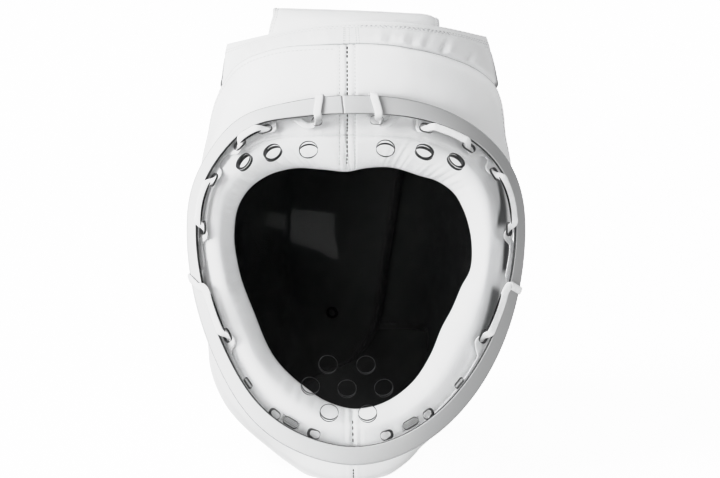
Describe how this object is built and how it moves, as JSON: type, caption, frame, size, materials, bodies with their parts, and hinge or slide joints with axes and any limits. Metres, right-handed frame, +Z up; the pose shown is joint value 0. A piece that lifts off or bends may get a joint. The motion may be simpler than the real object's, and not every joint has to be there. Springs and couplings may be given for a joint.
{
  "type": "kudo head guard with clear face visor",
  "caption": "Padded white leather head guard open at the face, crown and neck, with a clear vented bubble visor held by a white hoop and a lace, closed at the back by overlapping wings.",
  "frame": {"origin": "bottom centre of the bounding box, on the surface that the head guard stands on", "axes": "+Z up, the visor faces -Y, +X is the right side as seen from the front (the wearer's left)"},
  "size_m": [0.2332, 0.2776, 0.3138],
  "materials": {
    "leather": "white synthetic leather, fine grain, soft sheen",
    "lining": "black padded lining, stitched",
    "clear_visor": "clear polycarbonate, polished",
    "hoop_plastic": "white moulded band, satin",
    "lace_cotton": "white flat braided lace",
    "eyelet": "black lacquered ring"
  },
  "bodies": {
    "root": {"shell": "leather", "shell_lining": "lining", "wing_left": "leather", "wing_left_lining": "lining", "wing_right": "leather", "wing_right_lining": "lining", "vent_eyelet": "eyelet", "neck_band": "leather", "neck_band_lining": "lining", "crown_collar": "leather", "crown_flap": "leather", "visor": "clear_visor", "hoop": "hoop_plastic", "lace": "lace_cotton"}
  },
  "joints": []
}
